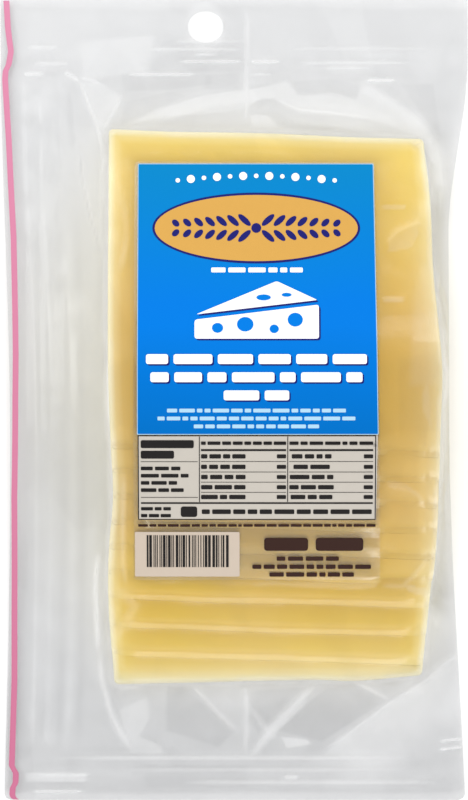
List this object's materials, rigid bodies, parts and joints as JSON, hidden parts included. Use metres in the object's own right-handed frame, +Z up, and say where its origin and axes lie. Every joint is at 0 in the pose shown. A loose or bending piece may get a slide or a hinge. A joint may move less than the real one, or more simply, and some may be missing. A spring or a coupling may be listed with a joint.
{
  "type": "pack of sliced cheese",
  "caption": "Clear resealable film bag of shingled square cheese slices lying on its back, with a label on its front, a zip along one side and a hang hole.",
  "frame": {"origin": "on the resting plane, under the middle of the pack's bounding box", "axes": "+X to the right of the label, +Y to the top edge with the hang hole, +Z up out of the label"},
  "size_m": [0.1434, 0.2456, 0.0229],
  "materials": {
    "filled_bag": "clear glossy film, tight over pale yellow cheese",
    "label_print": "smooth printed label film, mostly blue, slight gloss",
    "strip": "translucent pink tape, satin",
    "film": "clear crinkled film with glossy creases",
    "cheese": "pale yellow cheese, slightly translucent, satin with soft edges"
  },
  "bodies": {
    "root": {"bag": "filled_bag", "label": "label_print", "colour_strip": "strip"}
  },
  "joints": []
}
